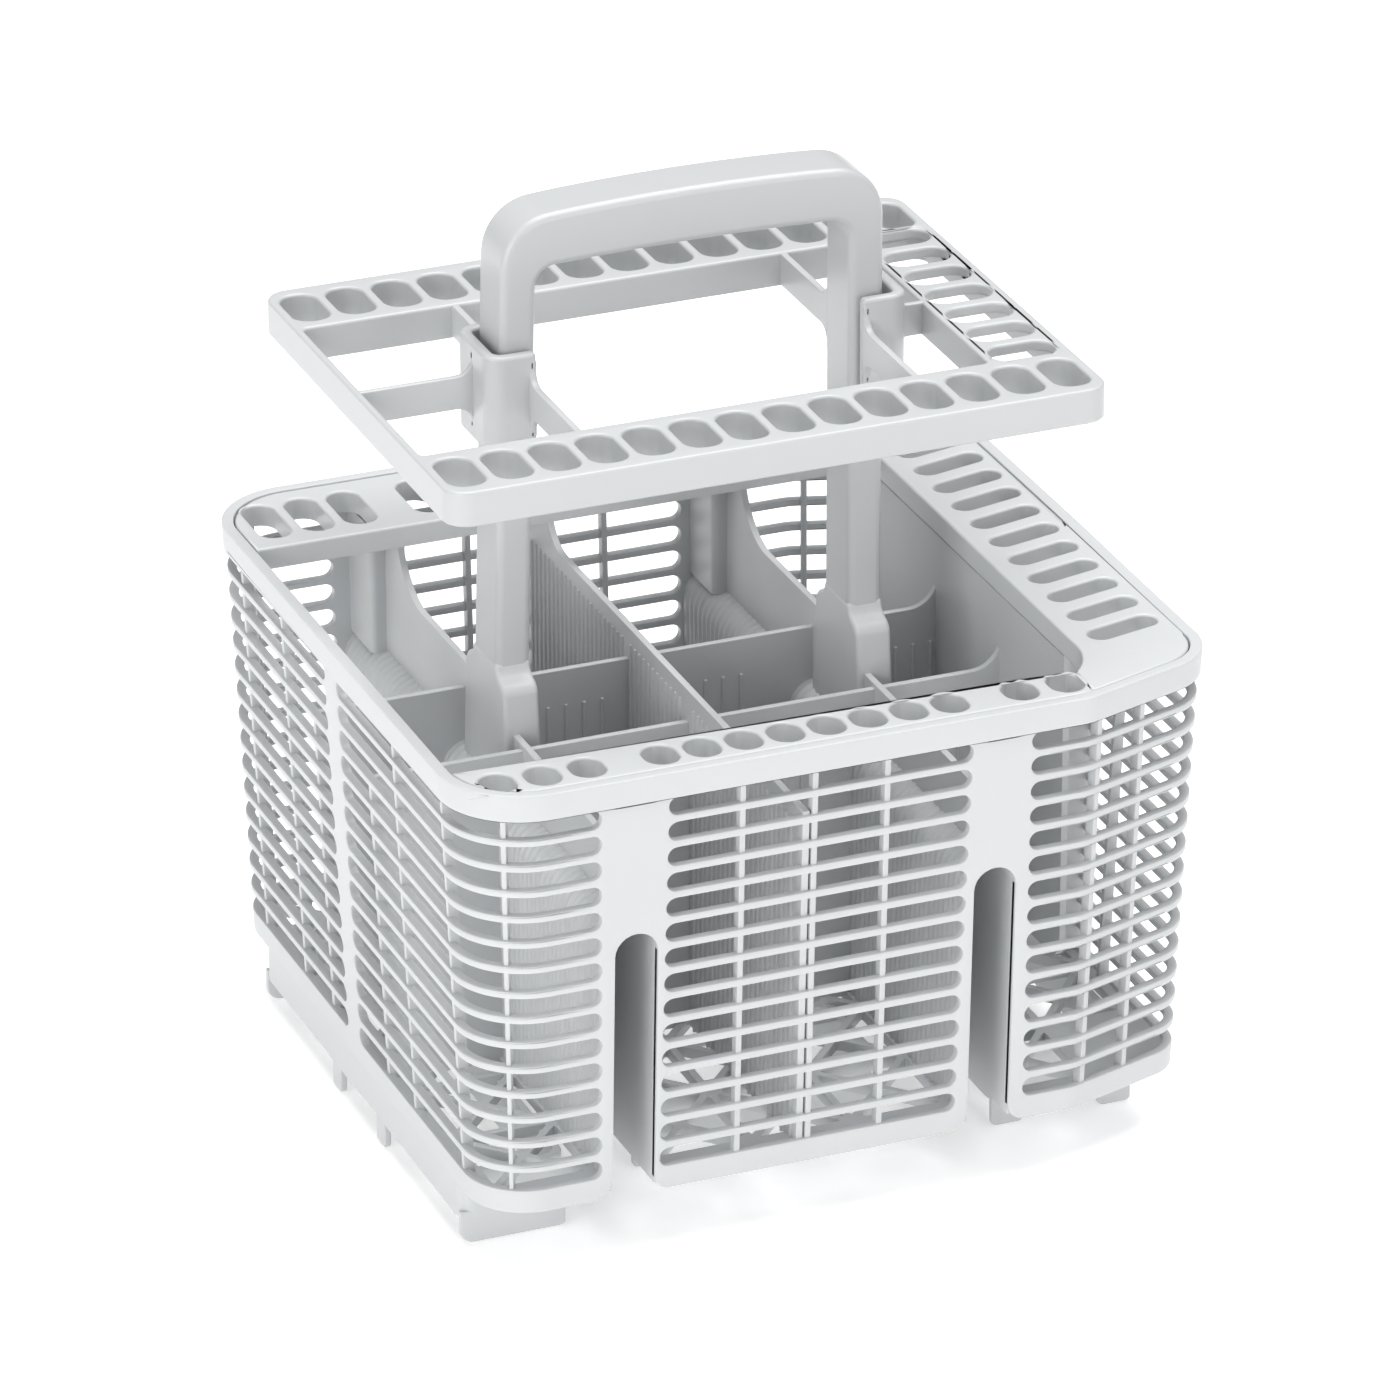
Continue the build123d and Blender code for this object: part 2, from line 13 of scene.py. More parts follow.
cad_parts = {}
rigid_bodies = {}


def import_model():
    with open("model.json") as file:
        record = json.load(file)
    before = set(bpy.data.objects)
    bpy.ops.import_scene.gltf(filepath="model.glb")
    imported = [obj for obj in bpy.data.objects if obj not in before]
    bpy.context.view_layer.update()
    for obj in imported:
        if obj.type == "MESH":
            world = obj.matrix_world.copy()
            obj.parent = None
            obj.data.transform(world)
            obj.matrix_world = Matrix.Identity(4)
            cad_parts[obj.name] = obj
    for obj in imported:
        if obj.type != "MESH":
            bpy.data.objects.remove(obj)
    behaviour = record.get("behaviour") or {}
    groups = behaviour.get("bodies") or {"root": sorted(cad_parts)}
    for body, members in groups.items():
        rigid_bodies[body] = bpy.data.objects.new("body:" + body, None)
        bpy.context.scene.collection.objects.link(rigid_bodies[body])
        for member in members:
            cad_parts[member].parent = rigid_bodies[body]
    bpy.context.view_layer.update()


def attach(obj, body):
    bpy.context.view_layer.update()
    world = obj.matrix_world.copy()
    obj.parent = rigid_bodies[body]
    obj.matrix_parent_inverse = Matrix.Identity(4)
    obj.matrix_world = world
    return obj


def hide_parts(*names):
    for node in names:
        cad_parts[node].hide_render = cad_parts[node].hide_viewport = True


for leftover in list(bpy.data.objects):
    bpy.data.objects.remove(leftover)
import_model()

# Tub walls
# The tub is one polypropylene moulding. Its walls are sheets of level slats with round-ended
# slots, bent round four corners and leaning in by 2.5 degrees so that they leave the mould.
RIM_LENGTH, RIM_WIDTH, RIM_TOP = 194.6, 187.6, 127.4
LEFT_CORNER, RIGHT_CORNER, CREASE = 20.8, 16.6, 14.0
CHAMFER_START, CHAMFER_TURN = 59.3, math.radians(17.8)
LEAN = math.tan(math.radians(2.5))
WALL_BOTTOM, WALL, BAND, BAND_STEP = 15.8, 2.4, 6.9, 0.6
SLOT_ROWS, SLOT_PITCH, SLOT_HEIGHT = 15, 6.7, 4.8
SIDE_STRIP = (-2.0, 6.0)
# Where each panel's slots end in X at the top row, and how far that drifts down to the last row
PANEL_ENDS = ((-64.0, 1.0), (-47.2, -1.2), (29.4, -2.0), (44.5, 0.6))
TUNNELS, TUNNEL_HALF, TUNNEL_TOP = (-54.9, 36.1), 5.3, 86.0
# The panels' rounded feet beside the tunnel mouths, from left to right
MOUTH_CORNERS = (5.5, 3.5, 5.5, 4.5)
INNER_TOP, EDGE, WALL_EDGE = 121.0, 0.3, 0.45


def linear(hex_colour):
    """sRGB hex to the linear RGBA that the nodes take."""
    channels = [int(hex_colour[i:i + 2], 16) / 255 for i in (1, 3, 5)]
    return (*[c / 12.92 if c <= 0.04045 else ((c + 0.055) / 1.055) ** 2.4 for c in channels], 1)


def add_node(tree, kind, values=(), links=()):
    """One node: values for its sockets or properties, links as socket to (node, output)."""
    node = tree.nodes.new(kind)
    for key, value in dict(values).items():
        if key in node.inputs:
            node.inputs[key].default_value = value
        else:
            setattr(node, key, value)
    for key, (source, output) in dict(links).items():
        tree.links.new(source.outputs[output], node.inputs[key])
    return node


def moulded_polypropylene(name, colour, shade, roughness, grain, gloss_patches):
    """Pale polypropylene: satin from the mould's fine spark texture, which is drawn at 0.6 mm
    so that it shows, with slightly glossier patches where the mould is worn."""
    material = bpy.data.materials.new(name)
    material.use_nodes = True
    tree = material.node_tree
    shader = tree.nodes["Principled BSDF"]
    place = add_node(tree, "ShaderNodeTexCoord")
    patches = add_node(tree, "ShaderNodeTexNoise", {"Scale": 45.0, "Detail": 3.0},
                       {"Vector": (place, "Object")})
    tone = add_node(tree, "ShaderNodeMix", {"data_type": "RGBA"})
    tone.inputs[6].default_value = linear(colour)
    tone.inputs[7].default_value = linear(shade)
    tree.links.new(patches.outputs["Fac"], tone.inputs[0])
    tree.links.new(tone.outputs[2], shader.inputs["Base Color"])
    gloss = add_node(tree, "ShaderNodeMapRange",
                     {"To Min": roughness + gloss_patches, "To Max": roughness - gloss_patches},
                     {"Value": (patches, "Fac")})
    tree.links.new(gloss.outputs["Result"], shader.inputs["Roughness"])
    texture = add_node(tree, "ShaderNodeTexNoise", {"Scale": 1600.0, "Detail": 1.0},
                       {"Vector": (place, "Object")})
    bump = add_node(tree, "ShaderNodeBump", {"Strength": grain, "Distance": 0.00005},
                    {"Height": (texture, "Fac")})
    tree.links.new(bump.outputs["Normal"], shader.inputs["Normal"])
    shader.inputs["IOR"].default_value = 1.49
    return material


tub_plastic = moulded_polypropylene(
    "satin_polypropylene_tub", "#CBCDCE", "#C6C8CA", 0.42, 0.25, 0.04)


def finish_piece(shape, name, node, material):
    """Turns a bmesh in millimetres into a piece that rides on the root body."""
    bmesh.ops.scale(shape, vec=(0.001,) * 3, verts=shape.verts)
    for face in shape.faces:
        face.smooth = True
    for edge in shape.edges:
        edge.smooth = not (edge.is_manifold and edge.calc_face_angle(0) > math.radians(38))
    mesh = bpy.data.meshes.new(name)
    shape.to_mesh(mesh)
    shape.free()
    mesh.materials.append(material)
    piece = bpy.data.objects.new(name, mesh)
    bpy.context.scene.collection.objects.link(piece)
    normals = piece.modifiers.new("flat_faces_stay_flat", "WEIGHTED_NORMAL")
    normals.keep_sharp = True
    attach(piece, "root")
    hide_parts(node)


def pierced_plate(outline, slots, thickness, segments=6, cuts=()):
    """Flat plate under z = 0. The outline and each slot are corners (x, y, rounding), where
    the rounding is how far the corner is cut back along its sides. Cuts are planes."""
    plate = bmesh.new()
    rounded = {}
    for corners in [outline, *slots]:
        ring = [plate.verts.new((x, y, 0)) for x, y, rounding in corners]
        plate.faces.new(ring)
        for vert, (x, y, rounding) in zip(ring, corners):
            if rounding:
                rounded.setdefault(rounding, []).append(vert)
    for rounding, verts in rounded.items():
        bmesh.ops.bevel(plate, geom=verts, affect="VERTICES", offset=rounding,
                        segments=segments, profile=0.5, material=-1)
    bmesh.ops.delete(plate, geom=plate.faces[:], context="FACES_ONLY")
    bmesh.ops.remove_doubles(plate, verts=plate.verts[:], dist=0.005)
    bmesh.ops.triangle_fill(plate, use_beauty=True, edges=plate.edges[:], normal=(0, 0, 1))
    for point, normal in cuts:
        bmesh.ops.bisect_plane(plate, geom=plate.verts[:] + plate.edges[:] + plate.faces[:],
                               plane_co=point, plane_no=normal)
    sides = bmesh.ops.extrude_face_region(plate, geom=plate.faces[:])
    for vert in [v for v in sides["geom"] if isinstance(v, bmesh.types.BMVert)]:
        vert.co.z -= thickness
    bmesh.ops.recalc_face_normals(plate, faces=plate.faces[:])
    return plate


def round_slot(x, y, rounding=0):
    """Corners of a slot between two ends on each axis, with fully round ends by default."""
    (x0, x1), (y0, y1) = x, y
    full = min(x1 - x0, y1 - y0) / 2 - 0.004
    return [(cx, cy, rounding or full) for cx, cy in ((x0, y0), (x1, y0), (x1, y1), (x0, y1))]


def round_edges(shape, width=EDGE, segments=2, chosen=lambda edge: True):
    """Rounds the sharp edges that are chosen, as the mould's own edges are."""
    sharp = [edge for edge in shape.edges if edge.is_manifold
             and edge.calc_face_angle(0) > math.radians(35) and chosen(edge)]
    bmesh.ops.bevel(shape, geom=sharp, affect="EDGES", offset=width, segments=segments,
                    profile=0.5, material=-1, loop_slide=False)


def add_shape(whole, part):
    """Adds one bmesh to another."""
    mesh = bpy.data.meshes.new("part")
    part.to_mesh(mesh)
    part.free()
    whole.from_mesh(mesh)
    bpy.data.meshes.remove(mesh)


def rim_runs():
    """The rim's outline as runs (start, x, y, heading, length, radius), from the middle of
    the right wall round the back, and its whole length."""
    cut_back = CREASE * math.tan(CHAMFER_TURN / 2)
    turn = math.pi / 2 - CHAMFER_TURN
    tangent = RIGHT_CORNER * math.tan(turn / 2)
    chamfer = (RIM_LENGTH / 2 - CHAMFER_START) / math.cos(CHAMFER_TURN) - cut_back - tangent
    corner_y = RIM_WIDTH / 2 - (RIM_LENGTH / 2 - CHAMFER_START) * math.tan(CHAMFER_TURN)
    side = corner_y - tangent
    across = CHAMFER_START - cut_back + RIM_LENGTH / 2 - LEFT_CORNER
    steps = [(side - 2, 0, 0), (0, RIGHT_CORNER, turn), (chamfer, 0, 0),
             (0, CREASE, CHAMFER_TURN), (across, 0, 0), (0, LEFT_CORNER, math.pi / 2),
             (RIM_WIDTH - 2 * LEFT_CORNER, 0, 0), (0, LEFT_CORNER, math.pi / 2), (across, 0, 0),
             (0, CREASE, CHAMFER_TURN), (chamfer, 0, 0), (0, RIGHT_CORNER, turn),
             (side + 2, 0, 0)]
    runs, u, x, y, heading = [], 0.0, RIM_LENGTH / 2, 2.0, math.pi / 2
    for length, radius, angle in steps:
        length = length or radius * angle
        runs.append((u, x, y, heading, length, radius))
        if radius:
            centre = (x - radius * math.sin(heading), y + radius * math.cos(heading))
            heading += angle
            x = centre[0] + radius * math.sin(heading)
            y = centre[1] - radius * math.cos(heading)
        else:
            x, y = x + length * math.cos(heading), y + length * math.sin(heading)
        u += length
    return runs, u


RUNS, ROUND_TRIP = rim_runs()


def on_wall(u, inset):
    """Point (x, y) at u along the rim's outline, moved in by inset."""
    for start, x, y, heading, length, radius in RUNS:
        if u <= start + length + 0.001:
            break
    along = u - start
    if radius:
        centre = Vector((x - radius * math.sin(heading), y + radius * math.cos(heading)))
        heading += along / radius
        return centre + (radius - inset) * Vector((math.sin(heading), -math.cos(heading)))
    point = Vector((x, y)) + along * Vector((math.cos(heading), math.sin(heading)))
    return point - inset * Vector((math.sin(heading), -math.cos(heading)))


def lean_onto_wall(co):
    """Bends a flat sheet, with u along X, height along Y and its outside at z = 0."""
    x, y = on_wall(co.x, BAND_STEP - co.z + LEAN * (RIM_TOP - co.y))
    return Vector((x, y, co.y))


# Each of these four gives the place along the rim's outline of a point on one wall
def front_u(x):
    return RUNS[8][0] + x - RUNS[8][1]


def back_u(x):
    return RUNS[4][0] + RUNS[4][1] - x


def left_u(y):
    return RUNS[6][0] + RUNS[6][2] - y


def right_u(y):
    return y - 2 if y >= 2 else ROUND_TRIP + y - 2


def wall_slots():
    """Every slot of the walls. The ends of the panels lean a little from row to row."""
    slots = []
    for row in range(SLOT_ROWS):
        top = RIM_TOP - BAND - row * SLOT_PITCH
        down = row / (SLOT_ROWS - 1)
        left_end, middle_left, middle_right, right_end = (x + drift * down
                                                          for x, drift in PANEL_ENDS)
        spans = [(right_u(SIDE_STRIP[1]), back_u(right_end)),
                 (back_u(middle_right), back_u(middle_left)),
                 (back_u(left_end), left_u(SIDE_STRIP[1])),
                 (left_u(SIDE_STRIP[0]), front_u(left_end)),
                 (front_u(middle_left), front_u(middle_right)),
                 (front_u(right_end), right_u(SIDE_STRIP[0]))]
        slots += [round_slot(span, (top - SLOT_HEIGHT, top)) for span in spans]
    return slots


def wall_outline():
    """Outline of the flat sheet, notched by the four tunnel mouths."""
    bottom = [(0.0, WALL_BOTTOM, 0)]
    left, middle_left, middle_right, right = MOUTH_CORNERS
    mouths = [(back_u(TUNNELS[1]), right, middle_right), (back_u(TUNNELS[0]), middle_left, left),
              (front_u(TUNNELS[0]), left, middle_left), (front_u(TUNNELS[1]), middle_right, right)]
    for middle, before, after in mouths:
        start, end = middle - TUNNEL_HALF, middle + TUNNEL_HALF
        bottom += [(start, WALL_BOTTOM, before), (start, TUNNEL_TOP, TUNNEL_HALF - 0.01),
                   (end, TUNNEL_TOP, TUNNEL_HALF - 0.01), (end, WALL_BOTTOM, after)]
    return bottom + [(ROUND_TRIP, WALL_BOTTOM, 0), (ROUND_TRIP, RIM_TOP, 0), (0.0, RIM_TOP, 0)]


def bends():
    """Planes that divide the sheet where it goes round the corners."""
    planes = [((0, RIM_TOP - BAND, 0), (0, 1, 0))]
    for start, x, y, heading, length, radius in RUNS:
        if radius:
            steps = math.ceil(length / radius / math.radians(5))
            planes += [((start + length * i / steps, 0, 0), (1, 0, 0)) for i in range(steps + 1)]
    return planes


walls = pierced_plate(wall_outline(), wall_slots(), WALL, 6, bends())
band_faces = [face for face in walls.faces if face.normal.z > 0.9
              and face.calc_center_median().y > RIM_TOP - BAND]
band = bmesh.ops.extrude_face_region(walls, geom=band_faces)
for vert in [v for v in band["geom"] if isinstance(v, bmesh.types.BMVert)]:
    vert.co.z += BAND_STEP
bmesh.ops.delete(walls, geom=[f for f in band_faces if f.is_valid], context="FACES_ONLY")
ends = [face for face in walls.faces if abs(face.normal.x) > 0.99
        and not 0.01 < face.calc_center_median().x < ROUND_TRIP - 0.01]
bmesh.ops.delete(walls, geom=ends, context="FACES")
bmesh.ops.recalc_face_normals(walls, faces=walls.faces[:])
round_edges(walls, WALL_EDGE)
for vert in walls.verts:
    vert.co = lean_onto_wall(vert.co)
seam = [vert for vert in walls.verts if vert.co.x > 80 and abs(vert.co.y - 2) < 0.5]
bmesh.ops.remove_doubles(walls, verts=seam, dist=0.05)
finish_piece(walls, "tub_walls", "basket_body", tub_plastic)

# Upright ribs of the walls
# Thin ribs stand behind the slats and tie them together. They are part of the moulding, set
# back a little from the outside.
RIB, RIB_BACK, RIB_DEPTH, RIB_FOOT = 1.5, 0.7, 2.8, WALL_BOTTOM + 2
MIDDLE_RIBS, LEFT_RIBS, RIGHT_RIBS = (-28.5, -10.3, 8.0), (-71.0, -38.6, 38.6, 67.0), (-36.0, 36.0)
# How far along the corners and the chamfers their ribs stand
CORNER_RIB, CHAMFER_RIBS = 20.5, (2.0, 15.5)
rib_places = [front_u(x) for x in MIDDLE_RIBS] + [back_u(x) for x in MIDDLE_RIBS]
rib_places += [left_u(y) for y in LEFT_RIBS] + [right_u(y) for y in RIGHT_RIBS]
rib_places += [RUNS[7][0] + CORNER_RIB, RUNS[5][0] + RUNS[5][4] - CORNER_RIB]
rib_places += [RUNS[10][0] + along for along in CHAMFER_RIBS]
rib_places += [RUNS[2][0] + RUNS[2][4] - along for along in CHAMFER_RIBS]
ribs = bmesh.new()
for place in rib_places:
    middle = (place, (RIB_FOOT + INNER_TOP) / 2, -RIB_BACK - RIB_DEPTH / 2)
    size = Matrix.Diagonal((RIB, INNER_TOP - RIB_FOOT, RIB_DEPTH, 1))
    bmesh.ops.create_cube(ribs, size=1, matrix=Matrix.Translation(middle) @ size)
round_edges(ribs)
for vert in ribs.verts:
    vert.co = lean_onto_wall(vert.co)
finish_piece(ribs, "tub_upright_ribs", "basket_body", tub_plastic)

# Floor
# An open lattice of ribs that meet in stars, part of the same moulding, so that water drains.
# It is in three bays between the walls and the tunnels, which are open right through.
FLOOR_TOP, FLOOR_THICKNESS, FLOOR_RIB, STAR_CORNER = 20.8, 3.0, 2.0, 0.8
# Each bay's lattice from X to X, and its columns of stars
FLOOR_BAYS = ((-88.0, -61.8, 1), (-48.0, 29.2, 3), (43.0, 88.0, 2))
FLOOR_ROWS, FLOOR_REACH, TUNNEL_CLEARANCE = 6, 82.0, 0.4


def star_cell(x0, x1, y0, y1):
    """Four three-cornered holes between the ribs of one cell."""
    half = FLOOR_RIB / 2
    xm, ym = (x0 + x1) / 2, (y0 + y1) / 2
    width, depth = x1 - x0, y1 - y0
    slope = math.hypot(width, depth)
    push, lift = half * slope / depth, half * slope / width
    rise = (width / 2 - push - half) * depth / width
    run = (depth / 2 - lift - half) * width / depth
    holes = [((x0 + half, ym - rise), (xm - push, ym), (x0 + half, ym + rise)),
             ((x1 - half, ym + rise), (xm + push, ym), (x1 - half, ym - rise)),
             ((xm - run, y0 + half), (xm + run, y0 + half), (xm, ym - lift)),
             ((xm + run, y1 - half), (xm - run, y1 - half), (xm, ym + lift))]
    return [[(x, y, STAR_CORNER) for x, y in hole] for hole in holes]


def floor_outline():
    """The inside of the walls at the floor's height, in short steps."""
    inset = BAND_STEP + WALL / 2 + LEAN * (RIM_TOP - FLOOR_TOP)
    places = []
    for start, x, y, heading, length, radius in RUNS:
        steps = 8 if radius == LEFT_CORNER else 6 if radius else 1
        places += [start + length * i / steps for i in range(steps)]
    return [(*on_wall(u, inset), 0) for u in places]


def between(corners, low, high):
    """Cuts an outline back to the stretch of X between two lines."""
    for side, limit in ((1, low), (-1, high)):
        kept = []
        for (x0, y0, rounding), (x1, y1, _) in zip(corners, corners[1:] + corners[:1]):
            if side * (x0 - limit) >= 0:
                kept.append((x0, y0, rounding))
            if (x0 - limit) * (x1 - limit) < 0:
                kept.append((limit, y0 + (y1 - y0) * (limit - x0) / (x1 - x0), 0))
        corners = kept
    return corners


floor = bmesh.new()
bay_lines = [-RIM_LENGTH] + [x + side * (TUNNEL_HALF + TUNNEL_CLEARANCE) for x in TUNNELS
                             for side in (-1, 1)] + [RIM_LENGTH]
for number, (left, right, columns) in enumerate(FLOOR_BAYS):
    cells = []
    for i in range(columns):
        for j in range(FLOOR_ROWS):
            under_chamfer = left > 0 and i == 1 and j in (0, FLOOR_ROWS - 1)
            if not under_chamfer:
                x0, x1 = (left + (right - left) * k / columns for k in (i, i + 1))
                y0, y1 = (FLOOR_REACH * (2 * k / FLOOR_ROWS - 1) for k in (j, j + 1))
                cells += star_cell(x0, x1, y0, y1)
    outline = between(floor_outline(), *bay_lines[2 * number:2 * number + 2])
    bay = pierced_plate(outline, cells, FLOOR_THICKNESS, 3)
    round_edges(bay)
    bmesh.ops.translate(bay, vec=(0, 0, FLOOR_TOP), verts=bay.verts)
    add_shape(floor, bay)
finish_piece(floor, "tub_floor", "basket_body", tub_plastic)

# Ridges over the tunnels
# Two hollow ridges run from front to back inside the tub and straddle the rack's wires.
# Low ribs run up their sides and over the top, so that cutlery doesn't cling to them.
RIDGE_WALL, FLUTE_PITCH, FLUTE, IN_WALL = 1.6, 2.9, 0.55, 0.8
RIDGE_FOOT = FLOOR_TOP - FLOOR_THICKNESS - 0.2
BACK = RIM_WIDTH / 2
SPRINGING = TUNNEL_TOP - TUNNEL_HALF
RIDGE_LEG, RIDGE_ARC = SPRINGING - RIDGE_FOOT, math.pi * TUNNEL_HALF


def ridge_place(x, along, lengthwise, out):
    """Point of a ridge: along runs up one side, over the round top and down the other."""
    half = TUNNEL_HALF + out
    if along <= RIDGE_LEG:
        px, pz = -half, RIDGE_FOOT + along
    elif along >= RIDGE_LEG + RIDGE_ARC:
        px, pz = half, SPRINGING - (along - RIDGE_LEG - RIDGE_ARC)
    else:
        angle = math.pi - (along - RIDGE_LEG) / TUNNEL_HALF
        px, pz = half * math.cos(angle), SPRINGING + half * math.sin(angle)
    reach_y = BACK - BAND_STEP - IN_WALL - LEAN * (RIM_TOP - pz)
    return Vector((x + px, lengthwise * reach_y, pz))


def ridge(x):
    """One ridge: a sheet of rows along the tunnel, bent over it and given its wall."""
    leg, arc = RIDGE_LEG, RIDGE_ARC
    columns = [0, 1] + [leg * i / 4 for i in range(1, 5)]
    columns += [leg + arc * i / 14 for i in range(1, 15)]
    columns += [leg + arc + leg * i / 4 for i in range(1, 4)] + [2 * leg + arc - 1, 2 * leg + arc]
    rows = 4 * round(2 * BACK / FLUTE_PITCH)
    shape = bmesh.new()
    bmesh.ops.create_grid(shape, x_segments=len(columns) - 1, y_segments=rows, size=1)
    for vert in shape.verts:
        column = round((vert.co.x + 1) / 2 * (len(columns) - 1))
        vert.co = Vector((columns[column], vert.co.y, 0))
    lifted = bmesh.ops.extrude_face_region(shape, geom=shape.faces[:])
    for vert in [v for v in lifted["geom"] if isinstance(v, bmesh.types.BMVert)]:
        vert.co.z = RIDGE_WALL
    for vert in shape.verts:
        out = vert.co.z
        row = round((vert.co.y + 1) / 2 * rows)
        if out > 0 and row % 4 == 1 and 3 < row < rows - 3:
            out += FLUTE
        vert.co = ridge_place(x, vert.co.x, vert.co.y, out)
    bmesh.ops.recalc_face_normals(shape, faces=shape.faces[:])
    return shape


for name, x in zip(("left_ridge", "right_ridge"), TUNNELS):
    finish_piece(ridge(x), name, "basket_body", tub_plastic)

# Dividers, partitions and the walls on the ridges
# Thin upright walls inside the tub, of the same moulding, which sweep up to its back and right
# walls. The divider has close flutes on its left face, the partitions low round-topped ribs.
INNER_WALL, WALL_FOOT = 1.8, FLOOR_TOP - 1.0
# A sweep is where it starts at the top, where it meets the wall's level top, and its rounding
DIVIDER_LEFT, DIVIDER_TOP, DIVIDER_SWEEP = -13.3, 110.0, (74.5, 72.5, 8.5)
FLUTED_REACH, FLUTE_DROP, FLUTE_CLEARANCE = 86.0, 3.8, 1.6
PARTITIONS, PARTITION_TOP, PARTITION_SWEEP = (-19.4, 19.4), 101.8, 7.2
PARTITION_RIBS, RIB_PITCH, RIB_RADIUS, RIB_DROP = (-34.5, 2.1, 52.6), 4.7, 0.6, 9.3
RIDGE_WALL_BACK, RIDGE_WALL_FRONT, RIDGE_WALL_SWEEP = 108.3, 103.0, (66.0, 60.5, 11.0)
FORK_WALL, FORK_WALL_BOTTOM, FORK_WALL_HALF, FORK_WALL_CORNER = 68.0, 39.0, 58.0, 6.0


def wall_end(z):
    """Half the tub's inside from front to back at a height, a little into the walls."""
    return BACK - BAND_STEP - 1.0 - LEAN * (RIM_TOP - z)


# The next two turn a flat plate up without mirroring it, so its faces still point outwards
def facing_right(plate, right):
    """Stands a flat plate up with its upper face to the right: its x is y and its y is z."""
    for vert in plate.verts:
        y, z, depth = vert.co
        vert.co = (right + depth, y, z)
    return plate


def facing_front(plate, front):
    """Stands a flat plate up with its upper face to the front: its y is z."""
    for vert in plate.verts:
        x, z, depth = vert.co
        vert.co = (x, front - depth, z)
    return plate


def upright_wall(left, corners):
    """Thin wall across X with corners (y, z, rounding), its left face at left."""
    wall = pierced_plate(corners, [], INNER_WALL, 8)
    round_edges(wall)
    return facing_right(wall, left + INNER_WALL)


def upright_rib(whole, x, y, bottom, top, radius):
    """Round-topped rib on a wall: a rod with a soft end, sunk to its middle."""
    rod = bmesh.new()
    bmesh.ops.create_cone(rod, cap_ends=True, segments=8, radius1=radius, radius2=radius,
                          depth=top - bottom,
                          matrix=Matrix.Translation((x, y, (top + bottom) / 2)))
    tops = [edge for edge in rod.edges
            if all(vert.co.z > top - 0.001 for vert in edge.verts)]
    bmesh.ops.bevel(rod, geom=tops, affect="EDGES", offset=radius * 0.8, segments=2,
                    profile=0.5, material=-1)
    add_shape(whole, rod)


sweep_start, sweep_end, rounding = DIVIDER_SWEEP
divider = upright_wall(DIVIDER_LEFT, [
    (-wall_end(WALL_FOOT), WALL_FOOT, 0), (wall_end(WALL_FOOT), WALL_FOOT, 0),
    (wall_end(INNER_TOP), INNER_TOP, 0), (sweep_start, INNER_TOP, 0),
    (sweep_end, DIVIDER_TOP, rounding), (-wall_end(DIVIDER_TOP), DIVIDER_TOP, 0)])
for i in range(round(2 * FLUTED_REACH / FLUTE_PITCH)):
    y = -FLUTED_REACH + FLUTE_PITCH * (i + 0.5)
    if min(abs(y - partition) for partition in PARTITIONS) > FLUTE_CLEARANCE:
        upright_rib(divider, DIVIDER_LEFT, y, WALL_FOOT, DIVIDER_TOP - FLUTE_DROP, FLUTE)
finish_piece(divider, "middle_divider", "basket_body", tub_plastic)

partitions = bmesh.new()
side_foot, side_top = (RIM_LENGTH / 2 - BAND_STEP - 1.0 - LEAN * (RIM_TOP - z)
                       for z in (WALL_FOOT, PARTITION_TOP))
past_fork_wall = FORK_WALL + INNER_WALL + 1
for y in PARTITIONS:
    plate = pierced_plate([
        (-side_foot, WALL_FOOT, 0), (side_foot, WALL_FOOT, 0), (side_top, PARTITION_TOP, 0),
        (past_fork_wall, PARTITION_TOP, 0), (past_fork_wall, INNER_TOP, 0),
        (FORK_WALL + 0.6, INNER_TOP, 0), (FORK_WALL + 0.3, PARTITION_TOP, PARTITION_SWEEP),
        (-side_top, PARTITION_TOP, 0)], [], INNER_WALL, 8)
    round_edges(plate)
    add_shape(partitions, facing_front(plate, y - INNER_WALL / 2))
    for first in PARTITION_RIBS:
        for i in range(4):
            upright_rib(partitions, first + RIB_PITCH * i, y - INNER_WALL / 2, WALL_FOOT,
                        PARTITION_TOP - RIB_DROP, RIB_RADIUS)
finish_piece(partitions, "cross_partitions", "basket_body", tub_plastic)

ridge_walls = bmesh.new()
sweep_start, sweep_end, rounding = RIDGE_WALL_SWEEP
back_y = wall_end(RIDGE_WALL_BACK)
for x in TUNNELS:
    add_shape(ridge_walls, upright_wall(x - INNER_WALL / 2, [
        (-wall_end(TUNNEL_TOP), TUNNEL_TOP, 0), (back_y, TUNNEL_TOP, 0), (back_y, INNER_TOP, 0),
        (sweep_start, INNER_TOP, 0), (sweep_end, RIDGE_WALL_BACK, rounding),
        (0.0, RIDGE_WALL_BACK, 0), (0.0, RIDGE_WALL_FRONT, 0),
        (-wall_end(RIDGE_WALL_FRONT), RIDGE_WALL_FRONT, 0)]))
finish_piece(ridge_walls, "walls_on_ridges", "basket_body", tub_plastic)

fork_wall = upright_wall(FORK_WALL, [
    (-FORK_WALL_HALF, FORK_WALL_BOTTOM, FORK_WALL_CORNER),
    (FORK_WALL_HALF, FORK_WALL_BOTTOM, FORK_WALL_CORNER),
    (FORK_WALL_HALF, INNER_TOP, 0), (-FORK_WALL_HALF, INNER_TOP, 0)])
finish_piece(fork_wall, "fork_wall", "basket_body", tub_plastic)

